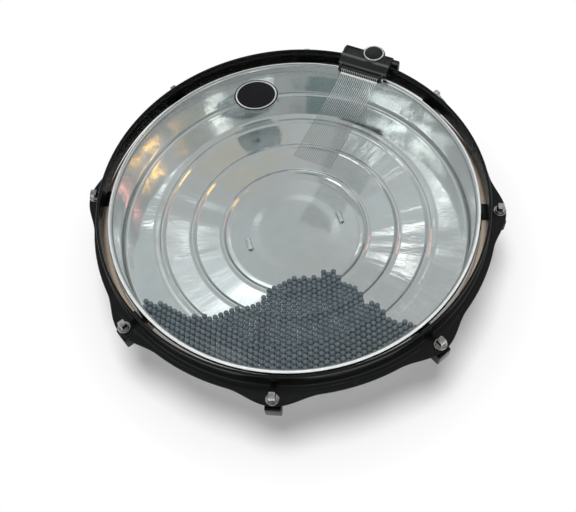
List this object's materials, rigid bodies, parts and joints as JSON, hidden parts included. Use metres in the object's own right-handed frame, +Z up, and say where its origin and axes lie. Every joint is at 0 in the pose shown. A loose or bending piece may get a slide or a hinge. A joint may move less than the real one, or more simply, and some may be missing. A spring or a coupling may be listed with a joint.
{
  "type": "shallow snare drum",
  "caption": "Shallow drum made from an upturned galvanised bin lid, with a clear tensioned head, a black rim, loose beads inside and a clip-on snare that lies on the head.",
  "frame": {"origin": "on the drum's axis, at the underside of the handle's crown, which it stands on", "axes": "+Z up along the drum's axis, X along the handle, -Y towards the side where the beads lie"},
  "size_m": [0.386, 0.386, 0.1018],
  "materials": {
    "galvanised_sheet": "bright galvanised, lightly streaked",
    "strap_steel": "dull zinc plate",
    "clear_film": "clear, glossy",
    "tan_hoop": "satin, with a warm tint",
    "black_paint": "satin black powder coat",
    "black_moulding": "fine matt texture",
    "gloss_black": "gloss black, bare",
    "chrome": "bright plated",
    "bright_wire": "bright drawn wire",
    "slate_beads": "smooth slate grey"
  },
  "bodies": {
    "drum": {"pan": "galvanised_sheet", "handle": "strap_steel", "head_film": "clear_film", "flesh_hoop": "tan_hoop", "rim": "black_paint", "clip_body": "black_moulding", "clip_disc": "gloss_black", "pivot_pin": "chrome", "clamp_pad": "black_moulding", "claw_1": "black_paint", "rod_washer_1": "chrome", "rod_nut_1": "strap_steel", "claw_2": "black_paint", "rod_washer_2": "chrome", "rod_nut_2": "strap_steel", "claw_3": "black_paint", "rod_washer_3": "chrome", "rod_nut_3": "strap_steel", "claw_4": "black_paint", "rod_washer_4": "chrome", "rod_nut_4": "strap_steel", "claw_5": "black_paint", "rod_washer_5": "chrome", "rod_nut_5": "strap_steel", "claw_6": "black_paint", "rod_washer_6": "chrome", "rod_nut_6": "strap_steel", "claw_7": "black_paint", "rod_washer_7": "chrome", "rod_nut_7": "strap_steel", "claw_8": "black_paint", "rod_washer_8": "chrome", "rod_nut_8": "strap_steel"},
    "tension_rod_1": {"tension_rod_1": "chrome"},
    "tension_rod_2": {"tension_rod_2": "chrome"},
    "tension_rod_3": {"tension_rod_3": "chrome"},
    "tension_rod_4": {"tension_rod_4": "chrome"},
    "tension_rod_5": {"tension_rod_5": "chrome"},
    "tension_rod_6": {"tension_rod_6": "chrome"},
    "tension_rod_7": {"tension_rod_7": "chrome"},
    "tension_rod_8": {"tension_rod_8": "chrome"},
    "snare": {"snare_bar": "black_moulding", "snare_wires": "bright_wire"},
    "clamp": {"clamp_screw": "chrome", "clamp_knob": "black_moulding"},
    "beads": {"bead_pile": "slate_beads"}
  },
  "joints": [
    {"name": "rod_turn_1", "type": "hinge", "parent": "drum", "child": "tension_rod_1", "pos_m": [0.18103, 0.07499, 0.0845], "axis": [0, 0, 1], "range_deg": [-1125, 1845]},
    {"name": "rod_turn_2", "type": "hinge", "parent": "drum", "child": "tension_rod_2", "pos_m": [0.07499, 0.18103, 0.0845], "axis": [0, 0, 1], "range_deg": [-1125, 1845]},
    {"name": "rod_turn_3", "type": "hinge", "parent": "drum", "child": "tension_rod_3", "pos_m": [-0.07499, 0.18103, 0.0845], "axis": [0, 0, 1], "range_deg": [-1125, 1845]},
    {"name": "rod_turn_4", "type": "hinge", "parent": "drum", "child": "tension_rod_4", "pos_m": [-0.18103, 0.07499, 0.0845], "axis": [0, 0, 1], "range_deg": [-1125, 1845]},
    {"name": "rod_turn_5", "type": "hinge", "parent": "drum", "child": "tension_rod_5", "pos_m": [-0.18103, -0.07499, 0.0845], "axis": [0, 0, 1], "range_deg": [-1125, 1845]},
    {"name": "rod_turn_6", "type": "hinge", "parent": "drum", "child": "tension_rod_6", "pos_m": [-0.07499, -0.18103, 0.0845], "axis": [0, 0, 1], "range_deg": [-1125, 1845]},
    {"name": "rod_turn_7", "type": "hinge", "parent": "drum", "child": "tension_rod_7", "pos_m": [0.07499, -0.18103, 0.0845], "axis": [0, 0, 1], "range_deg": [-1125, 1845]},
    {"name": "rod_turn_8", "type": "hinge", "parent": "drum", "child": "tension_rod_8", "pos_m": [0.18103, -0.07499, 0.0845], "axis": [0, 0, 1], "range_deg": [-1125, 1845]},
    {"name": "snare_flip", "type": "hinge", "parent": "drum", "child": "snare", "pos_m": [0.11419, 0.12076, 0.0907], "axis": [-0.7266, 0.6871, 0], "range_deg": [0, 105]},
    {"name": "clamp_turn", "type": "hinge", "parent": "drum", "child": "clamp", "pos_m": [0.12742, 0.13096, 0.089], "axis": [0.6871, 0.7266, 0], "range_deg": [0, 1125]},
    {"name": "bead_swirl", "type": "hinge", "parent": "drum", "child": "beads", "pos_m": [0, 0, 0.0409], "axis": [0, 0, 1], "continuous": true}
  ]
}
